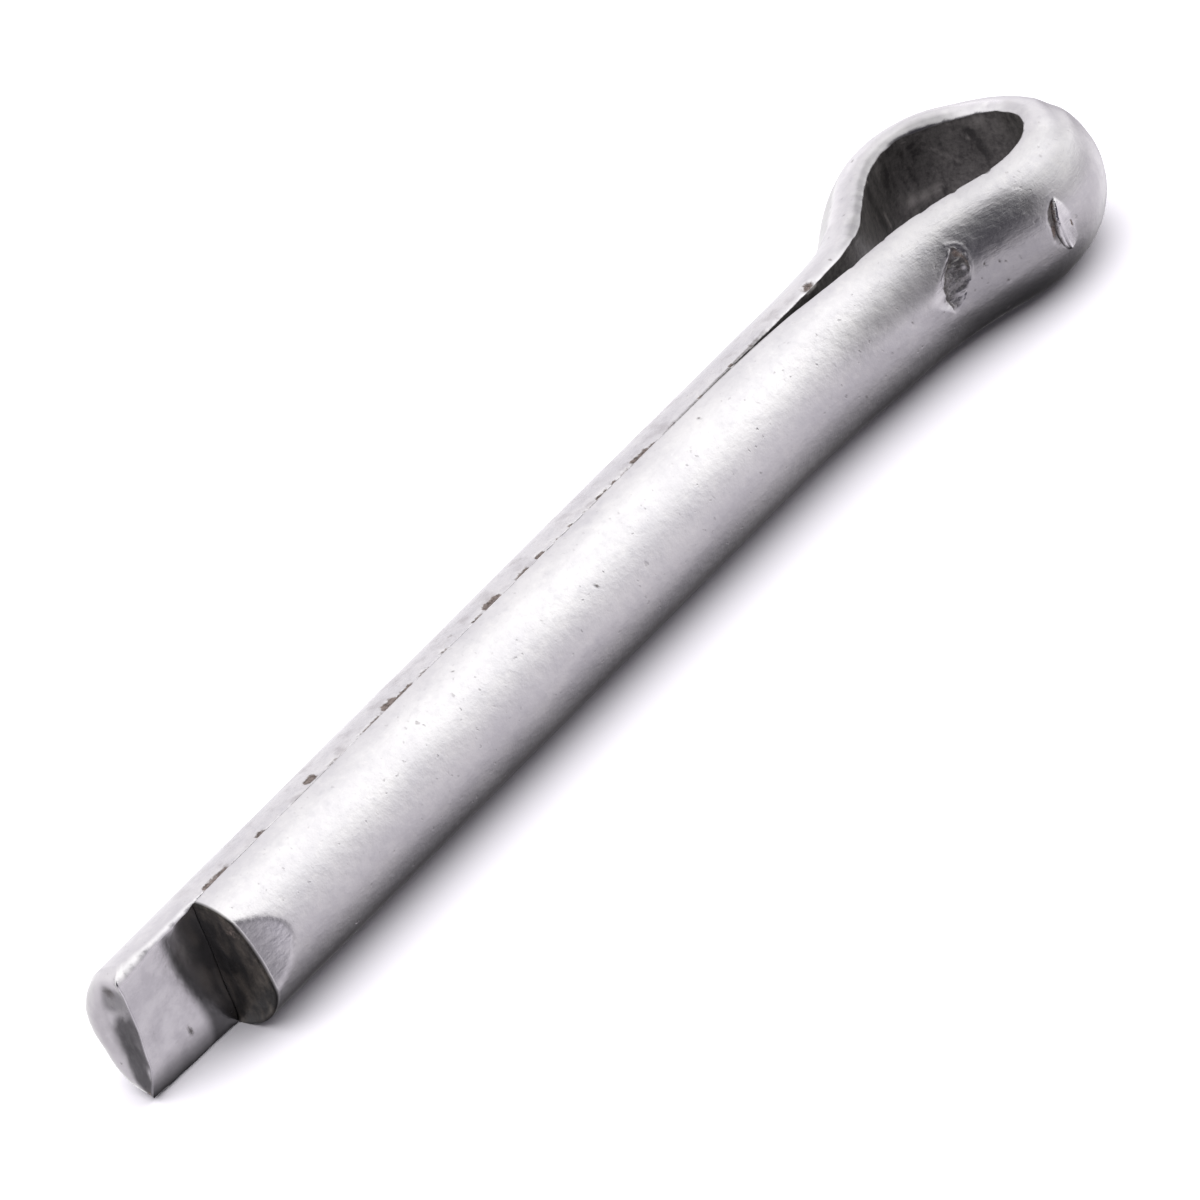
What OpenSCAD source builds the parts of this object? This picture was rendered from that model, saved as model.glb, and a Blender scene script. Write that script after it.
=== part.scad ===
// Cotter pin (split pin): one length of half-round wire folded on its flat
// side. The two half-round prongs lie flat to flat and make a round shank, and
// the fold opens into a lop-sided eye. The pin lies flat: X runs along the
// shank towards the eye, the flats face each other across Y, and the wire's
// full height is along Z. The origin is on the shank's axis, at the end of the
// straight round shank, where the short prong's wire starts to part from the
// long prong's.

/* [Wire] */
// Diameter of the closed shank, which is also the height of the half-round wire
shank_d = 4.6; // [4.2:0.1:4.8]
// Slit between the flat faces of the two prongs
slit = 0.08; // [0.04:0.02:0.2]

/* [Prongs] */
// Straight round shank, from the short prong's end to where the wires part
shank_l = 26.1; // [14:0.1:60]
// How far the long prong reaches past the short prong
prong_extra = 3.66; // [2:0.02:4]
// Length of the pinched facet on the outside of the short prong's end
facet_l = 1.6; // [0.8:0.1:2.4]
// Depth of the pinched facet at the very end
facet_depth = 0.46; // [0.2:0.02:0.7]
// How far the pinched facet is turned up from facing sideways, in degrees
facet_turn = 18; // [0:1:40]
// Length of the bevel round the outer edge of the long prong's end
bevel_l = 0.3; // [0.1:0.02:0.6]
// Width of that bevel, measured across the end face
bevel_w = 0.6; // [0.2:0.02:1]

/* [Eye] */
// Angle that the long prong's wire leans out along the throat, in degrees
throat_turn = 1.6; // [0.6:0.1:3]
// Radius of the flat face in the sharp neck on the long prong's side
neck_r = 5.5; // [3.5:0.1:7]
// Angle that the sharp neck reaches, measured from the shank, in degrees
neck_turn = 44.5; // [38:0.5:50]
// Inside radius of the eye's bulge on the long prong's side
bulge_r = 2.45; // [2:0.05:2.8]
// Slope of the wire where the bulge runs into the eye's end, in degrees
bulge_slope = 50; // [40:1:58]
// Inside radius of the flatter stretch at the eye's end
end_r = 7.4; // [3:0.1:9]
// Slope of the wire where the eye's end runs into its nose, in degrees
end_slope = 61; // [60:1:80]
// Inside radius of the nose, on the short prong's side
nose_r = 1.64; // [1.2:0.02:2]
// Radius of the flat face in the long easy bend on the short prong's side
heel_r = 35.6; // [20:0.2:50]

/* [Hidden] */
$fn = 96;
wire_r = shank_d / 2;
g = slit / 2;
// Where two lengths of wire meet, one is slimmer all round by this much and
// reaches this far into the other, so that they fuse into one solid.
step = 0.02;
// How far the wire goes along X and Y from the neck's start to the nose's end,
// without the nose's and the easy bend's last turn.
run_x = -(neck_r * (sin(neck_turn) - sin(throat_turn))
    + bulge_r * (sin(neck_turn) + sin(bulge_slope))
    + end_r * (sin(end_slope) - sin(bulge_slope))
    - nose_r * sin(end_slope));
run_y = neck_r * (cos(throat_turn) - cos(neck_turn))
    + bulge_r * (cos(bulge_slope) - cos(neck_turn))
    + end_r * (cos(end_slope) - cos(bulge_slope))
    - nose_r * cos(end_slope)
    + heel_r;
// The easy bend's angle follows from the rest, so that the short prong comes
// back exactly parallel to the long one, one slit away, with both of them
// straight up to the origin.
heel_turn = acos((2 * g + tan(throat_turn / 2) * run_x + run_y) * cos(throat_turn / 2) / (nose_r + heel_r))
    - throat_turn / 2;
throat_r = (run_x + (nose_r + heel_r) * sin(heel_turn)) / sin(throat_turn);
// The wire's bends in travelling order, from the long prong round the eye to
// the short prong. A bend is
// [radius of the flat face, heading at its start, heading at its end].
bends = [
    [throat_r, 0, throat_turn],
    [neck_r, throat_turn, neck_turn],
    [bulge_r, neck_turn, -bulge_slope],
    [end_r, -bulge_slope, -end_slope],
    [nose_r, -end_slope, -(180 + heel_turn)],
    [heel_r, -(180 + heel_turn), -180]
];
// How many steps slimmer each bend is than the straight shank, and the same
// for what comes before it and after it.
slim = [1, 2, 1, 0, 1, 2];
before = [0, 1, 2, 1, 0, 1];
after = [2, 1, 0, 1, 2, 0];
// A bend that turns left has its centre on the left of the path.
function side(b) = b[2] > b[1] ? 1 : -1;
function centre(b, p) = p + side(b) * b[0] * [-sin(b[1]), cos(b[1])];
function bend_end(b, p) = centre(b, p) - side(b) * b[0] * [-sin(b[2]), cos(b[2])];
function start_of(i) = i == 0 ? [0, g] : bend_end(bends[i - 1], start_of(i - 1));

// Half-round section with its flat at x = at. It lies on the +x side of the
// flat when way is 1, and on the -x side when way is -1. It is slimmer all
// round by inset.
module half_round(at, way, inset = 0) {
    flat = at + way * inset;
    intersection() {
        translate([at - way * g, 0]) circle(r = wire_r - inset);
        translate([way > 0 ? flat : flat - 2 * wire_r, -2 * wire_r]) square([2 * wire_r, 4 * wire_r]);
    }
}

// One bend of the wire, swept about its own centre.
module bend(i) {
    b = bends[i];
    c = centre(b, start_of(i));
    s = side(b);
    reach = step / b[0] * 180 / PI;
    // Angles from the bend's centre, where it starts and ends along the path.
    from = b[1] - s * 90 - s * (slim[i] > before[i] ? reach : 0);
    to = b[2] - s * 90 + s * (slim[i] > after[i] ? reach : 0);
    translate([c[0], c[1], 0])
        rotate([0, 0, min(from, to)])
            rotate_extrude(angle = abs(to - from))
                half_round(b[0], -s, slim[i] * step);
}

// A straight prong from x0 to the origin, on the +Y side when way is 1.
module straight(x0, way) {
    translate([x0, 0, 0]) rotate([90, 0, 90]) linear_extrude(height = -x0) half_round(way * g, way);
}

// The long prong, with the outer edge of its end bevelled.
module long_prong() {
    tip = -(shank_l + prong_extra);
    straight(tip + bevel_l, 1);
    intersection() {
        translate([tip, 0, 0]) rotate([0, 90, 0]) cylinder(r1 = wire_r - bevel_w, r2 = wire_r, h = bevel_l);
        translate([tip, g, -2 * wire_r]) cube([bevel_l, 2 * wire_r, 4 * wire_r]);
    }
}

// The short prong, with the facet pressed into its outside at the end.
module short_prong() {
    difference() {
        straight(-shank_l, -1);
        rotate([-facet_turn, 0, 0])
            translate([-shank_l, -wire_r + facet_depth, 0])
                rotate([0, 0, -atan(facet_depth / facet_l)])
                    translate([-2 * facet_l, -2 * wire_r, -2 * wire_r])
                        cube([6 * facet_l, 2 * wire_r, 4 * wire_r]);
    }
}

module cotter_pin() {
    color([0.72, 0.71, 0.73]) union() {
        long_prong();
        for (i = [0 : len(bends) - 1]) bend(i);
        short_prong();
    }
}

cotter_pin();
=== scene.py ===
"""Cotter pin: half-round wire folded into a split pin, lying on a pale floor.

The wire is swept in mesh code along the inside line of the fold, with its
sheared ends, the pinched facet, the tool marks and the chipped seam as geometry.
Lengths in the tables are in millimetres, in the CAD frame.
"""

import math

import bpy
import numpy as np
from mathutils import Matrix, Vector


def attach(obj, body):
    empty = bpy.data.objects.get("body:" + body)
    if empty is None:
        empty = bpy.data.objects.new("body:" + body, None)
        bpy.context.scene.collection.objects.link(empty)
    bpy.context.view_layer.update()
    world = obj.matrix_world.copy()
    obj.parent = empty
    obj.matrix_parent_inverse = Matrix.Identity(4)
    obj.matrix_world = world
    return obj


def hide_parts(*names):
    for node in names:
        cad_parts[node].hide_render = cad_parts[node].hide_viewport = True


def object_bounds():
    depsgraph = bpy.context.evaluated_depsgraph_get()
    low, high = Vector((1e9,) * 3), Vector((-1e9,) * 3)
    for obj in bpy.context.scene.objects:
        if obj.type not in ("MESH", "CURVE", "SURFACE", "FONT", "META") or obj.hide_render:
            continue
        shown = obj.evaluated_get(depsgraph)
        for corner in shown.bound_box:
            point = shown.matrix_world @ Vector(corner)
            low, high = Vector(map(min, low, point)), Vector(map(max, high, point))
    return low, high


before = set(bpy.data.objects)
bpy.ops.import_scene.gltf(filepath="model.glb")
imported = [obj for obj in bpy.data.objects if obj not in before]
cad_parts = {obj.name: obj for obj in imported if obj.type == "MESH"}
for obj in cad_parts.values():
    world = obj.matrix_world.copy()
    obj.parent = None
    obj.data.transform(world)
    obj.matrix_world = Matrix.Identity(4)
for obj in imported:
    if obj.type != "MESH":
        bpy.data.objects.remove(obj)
cad_low, cad_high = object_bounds()
MM = 0.001

# ---------------------------------------------------------------- camera
RIGHT = Vector((0.6047, -0.7405, -0.2933))
BACK = Vector((-0.5183, -0.6455, 0.5611)).normalized()
RIGHT = (RIGHT - RIGHT.dot(BACK) * BACK).normalized()
UP = BACK.cross(RIGHT)
TARGET = Vector((-8.1734, -0.6806, 0.0)) * MM
cam_data = bpy.data.cameras.new("camera")
cam = bpy.data.objects.new("camera", cam_data)
bpy.context.scene.collection.objects.link(cam)
turn = Matrix((RIGHT, UP, BACK)).transposed().to_4x4()
cam.matrix_world = Matrix.Translation(TARGET + BACK * 0.552) @ turn
cam_data.sensor_width = 36.0
cam_data.lens = 552.6
cam_data.clip_start = 0.01
cam_data.clip_end = 10.0
bpy.context.scene.camera = cam


# ---------------------------------------------------------------- helpers
def smooth(x, a, b):
    """0 below a, 1 above b, smooth between; a may be above b."""
    t = np.clip((np.asarray(x, float) - a) / (b - a), 0, 1)
    return t * t * (3 - 2 * t)


def bump(x, centre, width):
    """A rounded bump of 1 at centre that reaches 0 a width away."""
    t = np.clip(1 - ((np.asarray(x, float) - centre) / width) ** 2, 0, 1)
    return t * t


def hashed(i, j, k, seed):
    n = (i * 374761393 + j * 668265263 + k * 2147483647 + seed * 144269504) & 0xFFFFFFFF
    n = ((n ^ (n >> 13)) * 1274126177) & 0xFFFFFFFF
    n = ((n ^ (n >> 15)) * 2246822519) & 0xFFFFFFFF
    return ((n ^ (n >> 16)) & 0xFFFF) / 65535.0


def noise(p, scale, seed=0, octaves=1):
    """Value noise from -1 to 1 at points p (n, 3), with scale cells a unit."""
    total, weight, size = 0.0, 0.0, 1.0
    q = np.asarray(p, float) * scale
    for o in range(octaves):
        base = np.floor(q).astype(np.int64)
        f = q - base
        f = f * f * (3 - 2 * f)
        value = 0.0
        for dx in (0, 1):
            for dy in (0, 1):
                for dz in (0, 1):
                    w = (
                        (f[:, 0] if dx else 1 - f[:, 0])
                        * (f[:, 1] if dy else 1 - f[:, 1])
                        * (f[:, 2] if dz else 1 - f[:, 2])
                    )
                    value = value + w * hashed(
                        base[:, 0] + dx, base[:, 1] + dy, base[:, 2] + dz, seed + 17 * o
                    )
        total = total + (value * 2 - 1) * size
        weight += size
        size *= 0.5
        q = q * 2.03 + 11.7
    return total / weight


# ---------------------------------------------------------------- the wire's path
HALF = 2.3  # half the wire's height, which is also the shank's radius
SHORT_X = -26.1  # the short prong's end
LONG_X = cad_low.x / MM  # the long prong's end
SLIT = 0.004
# The inside line of the fold, from the short prong's side round the eye to the
# long prong's side.
FOLD = [
    (-4.0, -0.004), (-1.5, -0.010), (0.0, -0.022), (1.42, -0.078), (2.82, -0.2), (4.26, -0.42), (5.11, -0.55), (6.01, -0.65),
    (6.9, -0.75), (7.76, -0.88), (8.53, -1.07), (9.26, -1.3), (9.95, -1.56),
    (10.64, -1.82), (11.3, -1.99), (11.93, -2.02), (12.52, -1.92), (13.1, -1.62),
    (13.5, -1.22), (13.66, -0.82), (13.64, -0.27), (13.41, 0.36), (13.05, 0.89),
    (12.69, 1.42), (12.29, 1.88), (11.75, 2.22), (10.95, 2.38), (10.17, 2.25),
    (9.35, 1.86), (8.41, 1.24), (7.6, 0.7), (7.03, 0.42), (6.06, 0.21),
    (4.92, 0.1), (3.7, 0.035), (2.18, 0.016), (0.6, 0.012), (-1.5, 0.009),
]


def catmull(points, n=24):
    p = np.array([points[0]] + list(points) + [points[-1]], float)
    out = []
    for i in range(1, len(p) - 2):
        t = np.linspace(0, 1, n, endpoint=False)[:, None]
        a, b, c, d = p[i - 1], p[i], p[i + 1], p[i + 2]
        out.append(
            0.5
            * (
                2 * b
                + (c - a) * t
                + (2 * a - 5 * b + 4 * c - d) * t**2
                + (3 * b - a - 3 * c + d) * t**3
            )
        )
    out.append(p[-1:])
    return np.vstack(out)


def resample(line, step):
    d = np.r_[0, np.cumsum(np.linalg.norm(np.diff(line, axis=0), axis=1))]
    u = np.linspace(0, d[-1], int(round(d[-1] / step)) + 1)
    return np.stack([np.interp(u, d, line[:, 0]), np.interp(u, d, line[:, 1])], 1)


def blur(line, sigma, step):
    n = int(4 * sigma / step)
    k = np.exp(-0.5 * (np.arange(-n, n + 1) * step / sigma) ** 2)
    k /= k.sum()
    out = []
    for c in range(line.shape[1]):
        a = line[:, c]
        padded = np.r_[2 * a[0] - a[n:0:-1], a, 2 * a[-1] - a[-2 : -n - 2 : -1]]
        out.append(np.convolve(padded, k, "valid"))
    return np.stack(out, 1)


STEP = 0.02
line = np.vstack([[[SHORT_X, -SLIT]], catmull(FOLD), [[LONG_X, SLIT]]])
line = blur(resample(line, STEP), 0.28, STEP)
line[0, 0], line[-1, 0] = SHORT_X, LONG_X
LENGTH = (len(line) - 1) * STEP
U_FINE = np.arange(len(line)) * STEP
tangent = np.gradient(line, STEP, axis=0)
tangent /= np.linalg.norm(tangent, axis=1)[:, None]
outward = np.stack([tangent[:, 1], -tangent[:, 0]], 1)
nose_i = int(np.argmax(line[:, 0]))
U_NOSE = U_FINE[nose_i]


def u_near(x):
    """Length along the wire where the short prong's side has this X."""
    return np.interp(x, line[: nose_i + 1, 0], U_FINE[: nose_i + 1])


def u_far(x):
    """Length along the wire where the long prong's side has this X."""
    return np.interp(-np.asarray(x, float), -line[nose_i:, 0], U_FINE[nose_i:])


# ---------------------------------------------------------------- stations
density = np.full(len(U_FINE), 1 / 0.105)
density += (1 / 0.066 - 1 / 0.105) * smooth(U_FINE, u_near(2.5), u_near(6.0)) * smooth(
    U_FINE, u_far(3.0), u_far(8.0)
)
density += (1 / 0.06 - 1 / 0.105) * smooth(U_FINE, 3.2, 1.6)
density += (1 / 0.07 - 1 / 0.105) * smooth(U_FINE, LENGTH - 5.0, LENGTH - 3.4)
count = np.r_[0, np.cumsum(0.5 * (density[1:] + density[:-1]) * STEP)]
N_ST = int(count[-1])
U = np.interp(np.linspace(0, count[-1], N_ST), count, U_FINE)
PX, PY = np.interp(U, U_FINE, line[:, 0]), np.interp(U, U_FINE, line[:, 1])
NX, NY = np.interp(U, U_FINE, outward[:, 0]), np.interp(U, U_FINE, outward[:, 1])
nn = np.hypot(NX, NY)
NX, NY = NX / nn, NY / nn

# The wire's thickness from its flat to its back, at lengths along the wire. The
# bend has drawn it thinner round the eye.
THICK_U = [
    0.0, u_near(-12.0), u_near(-6.0), u_near(-1.0), u_near(3.0), u_near(6.1), u_near(11.0),
    U_NOSE, u_far(11.0), u_far(7.5), u_far(5.0), u_far(2.0), u_far(-3.0), LENGTH,
]
THICK_T = [2.26, 2.25, 2.24, 2.24, 2.12, 1.88, 1.86, 1.93, 1.93, 1.95, 2.08, 2.2, 2.25, 2.26]
thick_fine = np.interp(U_FINE, THICK_U, THICK_T)
thick_fine = blur(thick_fine[:, None], 0.9, STEP)[:, 0]
T = np.interp(U, U_FINE, thick_fine)

# The edge between the flat and the back: how far it is worn across the top (wide)
# and down the flat (deep). It is nearly sharp along the shank, and the inside of
# the eye is burnished wide on the long prong's side.
EDGE = [  # length along the wire, wide, deep
    (0.0, 0.09, 0.08), (0.6, 0.03, 0.02), (u_near(-5.0), 0.022, 0.014), (u_near(0.0), 0.035, 0.03), (u_near(5.0), 0.08, 0.06),
    (u_near(9.0), 0.12, 0.08), (u_near(12.5), 0.20, 0.09), (U_NOSE, 0.34, 0.13),
    (u_far(12.6), 0.48, 0.20), (u_far(11.0), 0.42, 0.17), (u_far(9.0), 0.52, 0.15),
    (u_far(7.0), 0.50, 0.13), (u_far(4.5), 0.24, 0.08), (u_far(1.0), 0.07, 0.05),
    (u_far(-1.5), 0.045, 0.04), (u_far(-6.0), 0.026, 0.016), (u_far(-24.9), 0.030, 0.020), (u_far(-25.6), 0.05, 0.045), (u_far(-26.6), 0.20, 0.16),
    (u_far(-28.5), 0.26, 0.22), (LENGTH, 0.34, 0.30),
]
edge_u = [e[0] for e in EDGE]
line_u = np.stack([U, 0 * U, 0 * U], 1)
wander = 1 + 0.22 * noise(line_u, 1.1, 5, 2) + 0.16 * noise(line_u, 4.0, 6, 2)
WIDE = np.interp(U, edge_u, [e[1] for e in EDGE]) * wander
DEEP = np.interp(U, edge_u, [e[2] for e in EDGE]) * wander
BOT_U = [0.0, u_far(-26.2), u_far(-27.0), u_far(-29.0), LENGTH]
BOT_WIDE = np.interp(U, BOT_U, [0.08, 0.08, 0.14, 0.20, 0.30]) * (0.5 + 0.5 * wander)
BOT_DEEP = np.interp(U, BOT_U, [0.08, 0.08, 0.7, 0.85, 0.7]) * (0.5 + 0.5 * wander)

# ---------------------------------------------------------------- section
N_FLAT, N_TOP, N_ARC, N_BOT = 11, 6, 50, 5
q = np.linspace(0, 1, N_ARC)


def spread(weights):
    """Angles from 0 to 180 degrees, closer together where the weight is larger."""
    x = np.linspace(0, 180, 721)
    w = np.interp(x, [k for k, _ in weights], [v for _, v in weights])
    c = np.r_[0, np.cumsum(0.5 * (w[1:] + w[:-1]))]
    return np.interp(q, c / c[-1], x)


ARC_SHANK = spread([(0, 3.2), (14, 2.6), (30, 1.2), (120, 0.9), (180, 0.7)])
ARC_EYE = spread([(0, 1.6), (60, 1.6), (110, 1.2), (130, 0.8), (180, 0.6)])
ARC_MARK = spread([(0, 1.2), (28, 1.4), (42, 2.3), (104, 2.3), (122, 0.8), (180, 0.6)])
in_eye = smooth(U, u_near(2.0), u_near(5.0)) * smooth(U, u_far(3.0), u_far(8.0))
marked = (in_eye * smooth(U, 40.0, 38.8))[:, None]
share = ARC_EYE[None, :] * (1 - marked) + ARC_MARK[None, :] * marked
share = ARC_SHANK[None, :] * (1 - in_eye[:, None]) + share * in_eye[:, None]
PHI_0 = np.arcsin(WIDE / T)
PHI_1 = np.arcsin(BOT_WIDE / T)
phi = PHI_0[:, None] + (math.pi - PHI_0 - PHI_1)[:, None] * share / 180
n_sec = N_FLAT + N_TOP + N_ARC + N_BOT
A = np.zeros((N_ST, n_sec))
Z = np.zeros((N_ST, n_sec))
j = 0
f = np.linspace(0, 1, N_FLAT)
ease = f + 0.10 * np.sin(2 * math.pi * f) * -1
top_z = HALF * np.cos(PHI_0)
zt, zb = top_z - DEEP, -HALF * np.cos(PHI_1) + BOT_DEEP
Z[:, :N_FLAT] = zb[:, None] + (zt - zb)[:, None] * ease[None, :]
a = np.linspace(0, math.pi / 2, N_TOP + 2)[1:-1]
A[:, N_FLAT : N_FLAT + N_TOP] = WIDE[:, None] * (1 - np.cos(a))
Z[:, N_FLAT : N_FLAT + N_TOP] = zt[:, None] + DEEP[:, None] * np.sin(a)
s = N_FLAT + N_TOP
A[:, s : s + N_ARC] = T[:, None] * np.sin(phi)
Z[:, s : s + N_ARC] = HALF * np.cos(phi)
a = np.linspace(math.pi / 2, 0, N_BOT + 2)[1:-1]
A[:, s + N_ARC :] = BOT_WIDE[:, None] * (1 - np.cos(a))
Z[:, s + N_ARC :] = zb[:, None] - BOT_DEEP[:, None] * np.sin(a)
PHI = np.zeros((N_ST, n_sec))  # angle round the back from the top, in degrees
PHI[:, s : s + N_ARC] = np.degrees(phi)
PHI[:, s + N_ARC :] = 180
PHI[:, :N_FLAT] = -90
PHI[:, N_FLAT : N_FLAT + N_TOP] = np.linspace(-60, 0, N_TOP)[None, :]
ON_FLAT = np.zeros((N_ST, n_sec))
ON_FLAT[:, :N_FLAT] = 1
girth = np.concatenate(
    [np.zeros((N_ST, 1)), np.cumsum(np.hypot(np.diff(A, axis=1), np.diff(Z, axis=1)), axis=1)],
    axis=1,
)
girth -= girth[:, N_FLAT + N_TOP : N_FLAT + N_TOP + 1]

body = np.zeros((N_ST, n_sec, 3))
body[:, :, 0] = PX[:, None] + NX[:, None] * A
body[:, :, 1] = PY[:, None] + NY[:, None] * A
body[:, :, 2] = Z

# ---------------------------------------------------------------- end faces
RINGS = 16


def end_cap(loop_a, loop_z, t):
    """Rings of (a, z) from the outline in to the middle of the end face."""
    ca, cz = 0.42 * t, 0.0
    rings = []
    for k in range(1, RINGS):
        m = 1 - (k / RINGS) ** 0.92
        rings.append(np.stack([ca + (loop_a - ca) * m, cz + (loop_z - cz) * m], 1))
    return np.array(rings), np.array([ca, cz])


def short_face(a, z, t):
    """How far the short prong's end face is hollowed or rounded, along X."""
    rho = np.hypot(a / t, z / HALF)
    d = np.clip((1 - rho) * HALF, 0, 9)
    edge = 0.05 * np.clip(1 - d / 0.12, 0, 1) ** 2
    p = np.stack([a * 1.0, z * 0.7, 0 * a], 1)
    rough = 0.05 * noise(p, 1.7, 3, 3) + 0.02 * noise(p, 6.0, 8, 2)
    return edge + (rough + 0.06) * smooth(d, 0.0, 0.25)


def long_face(a, z, t):
    """The same for the long prong's end: a domed shear with a torn strip."""
    rho = np.hypot(a / t, z / HALF)
    d = np.clip((1 - rho) * HALF, 0, 9)
    b = 0.62 + 0.25 * smooth(z, 0.0, 1.6)
    dome = 0.62 * b * (1 - np.sqrt(np.clip(1 - (1 - np.clip(d / b, 0, 1)) ** 2, 0, 1)))
    p = np.stack([a, z, 0 * a], 1)
    torn = torn_strip(a, z) * (0.06 + 0.05 * noise(p, 4.0, 31, 2)) * smooth(z, -2.1, -1.2)
    torn += 0.05 * rolled_corner(a, z)
    return dome * smooth(a, 0.0, 0.3) + torn + 0.05 * d * smooth(z, -0.5, 2.0) + 0.012 * noise(p, 5.0, 41, 2)


def torn_strip(a, z):
    """Where the long prong's end tore instead of shearing, beside its flat."""
    p = np.stack([a, z, 0 * a], 1)
    width = np.interp(z, [-2.3, -2.0, -1.6, -1.1, -0.6, 0.1, 0.7, 1.2], [0.25, 0.48, 0.82, 1.04, 1.0, 1.1, 0.72, 0.55])
    width = width + 0.10 * noise(p, 1.9, 21, 3)
    return smooth(a, width + 0.14, width - 0.22) * smooth(z, 1.05, 0.55)


def rolled_corner(a, z):
    """The greyer upper corner of the same end, rolled over by the shear."""
    p = np.stack([a, z, 0 * a], 1)
    width = 1.05 + 0.12 * noise(p, 1.7, 22, 2)
    return smooth(a, width + 0.12, width - 0.22) * smooth(z, 1.95, 1.6) * smooth(z, 0.55, 0.95)


short_rings, short_mid = end_cap(A[0], Z[0], T[0])
long_rings, long_mid = end_cap(A[-1], Z[-1], T[-1])
off_short = short_face(A[0], Z[0], T[0])
off_long = long_face(A[-1], Z[-1], T[-1])
reach = smooth(U, 1.2, 0.0)[:, None]
body[:, :, 0] += off_short[None, :] * reach
reach = smooth(U, LENGTH - 1.2, LENGTH)[:, None]
body[:, :, 0] += off_long[None, :] * reach

verts = [body.reshape(-1, 3)]
cap_start = []
for rings, mid, face, sign, x0, t in (
    (short_rings, short_mid, short_face, -1, SHORT_X, T[0]),
    (long_rings, long_mid, long_face, 1, LONG_X, T[-1]),
):
    flat = rings.reshape(-1, 2)
    flat = np.vstack([flat, mid[None, :]])
    x = x0 + face(flat[:, 0], flat[:, 1], t)
    y = sign * (SLIT + flat[:, 0])
    cap_start.append(sum(len(v) for v in verts))
    verts.append(np.stack([x, y, flat[:, 1]], 1))
V = np.vstack(verts)
n_body = N_ST * n_sec

# Attributes of each point: length along the wire, girth round it, and masks.
uu = np.r_[np.repeat(U, n_sec), np.zeros(len(V) - n_body)]
gg = np.r_[girth.ravel(), np.zeros(len(V) - n_body)]
pp = np.r_[PHI.ravel(), np.zeros(len(V) - n_body)]
c0, c1 = cap_start
uu[c0:c1], uu[c1:] = -1.0, LENGTH + 1.0
gg[c0:c1], gg[c1:] = V[c0:c1, 2], V[c1:, 2]
is_short_face = np.zeros(len(V))
is_short_face[c0:c1] = 1
is_long_face = np.zeros(len(V))
is_long_face[c1:] = 1
on_flat = np.r_[ON_FLAT.ravel(), np.zeros(len(V) - n_body)]

# ---------------------------------------------------------------- faces
faces = []
i0 = np.arange(N_ST - 1)[:, None] * n_sec
j0 = np.arange(n_sec)[None, :]
j1 = (j0 + 1) % n_sec
quads = np.stack(
    [i0 + j0, i0 + j1, i0 + n_sec + j1, i0 + n_sec + j0], -1
).reshape(-1, 4)
tris = []
for start, loop0, flip in ((c0, 0, False), (c1, (N_ST - 1) * n_sec, True)):
    prev = loop0 + np.arange(n_sec)
    for k in range(RINGS - 1):
        cur = start + k * n_sec + np.arange(n_sec)
        qd = np.stack([prev, cur, np.roll(cur, -1), np.roll(prev, -1)], 1)
        if flip:
            qd = qd[:, ::-1]
        quads = np.vstack([quads, qd])
        prev = cur
    mid = start + (RINGS - 1) * n_sec
    tr = np.stack([prev, np.full(n_sec, mid), np.roll(prev, -1)], 1)
    if flip:
        tr = tr[:, ::-1]
    tris.append(tr)
tris = np.vstack(tris)


def vertex_normals(P):
    n = np.zeros_like(P)
    for f in (quads[:, [0, 1, 2]], quads[:, [0, 2, 3]], tris, fans):
        fn = np.cross(P[f[:, 1]] - P[f[:, 0]], P[f[:, 2]] - P[f[:, 0]])
        for k in range(3):
            for c in range(3):
                n[:, c] += np.bincount(f[:, k], fn[:, c], len(P))
    return n / np.maximum(np.linalg.norm(n, axis=1)[:, None], 1e-12)


# ---------------------------------------------------------------- pinched facet
def plane_cut(P, point, normal, soft=0.02):
    """Presses what stands beyond a plane back onto it."""
    n = np.array(normal, float)
    n /= np.linalg.norm(n)
    d = (P - np.array(point, float)) @ n
    over = 0.5 * (d + np.sqrt(d * d + soft * soft)) * (d > -4 * soft)
    return P - over[:, None] * n, smooth(d, 0.0, 0.05)


turn_f = math.radians(18)
slope = math.atan(0.46 / 1.6)
nf = np.array(
    [-math.sin(slope), -math.cos(slope) * math.cos(turn_f), math.cos(slope) * math.sin(turn_f)]
)
p0 = np.array([SHORT_X, -(HALF - 0.46) * math.cos(turn_f), (HALF - 0.46) * math.sin(turn_f)])
near_end = (V[:, 0] > SHORT_X - 0.5) & (V[:, 0] < SHORT_X + 3.5) & (V[:, 1] < 0)
facet = np.zeros(len(V))
V[near_end], facet[near_end] = plane_cut(V[near_end], p0, nf)

# ---------------------------------------------------------------- finer patches
def finer(values, first, last, steps, axis):
    """Values between first and last along one axis, steps to each old one."""
    at = first + np.arange((last - first) * steps + 1) / steps
    i = np.minimum(at.astype(int), last - 1)
    f = (at - i)[(slice(None),) + (None,) * (values.ndim - 1)]
    v = np.moveaxis(values, axis, 0)
    p0, p1, p2, p3 = v[i - 1], v[i], v[i + 1], v[np.minimum(i + 2, len(v) - 1)]
    r = p1 + 0.5 * f * (p2 - p0 + f * (2 * p0 - 5 * p1 + 4 * p2 - p3 + f * (3 * (p1 - p2) + p3 - p0)))
    return np.moveaxis(r, 0, axis)


def column(phi_deg, u_mid):
    row = PHI[np.argmin(np.abs(U - u_mid))]
    return int(np.argmin(np.abs(row - phi_deg)))


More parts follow.
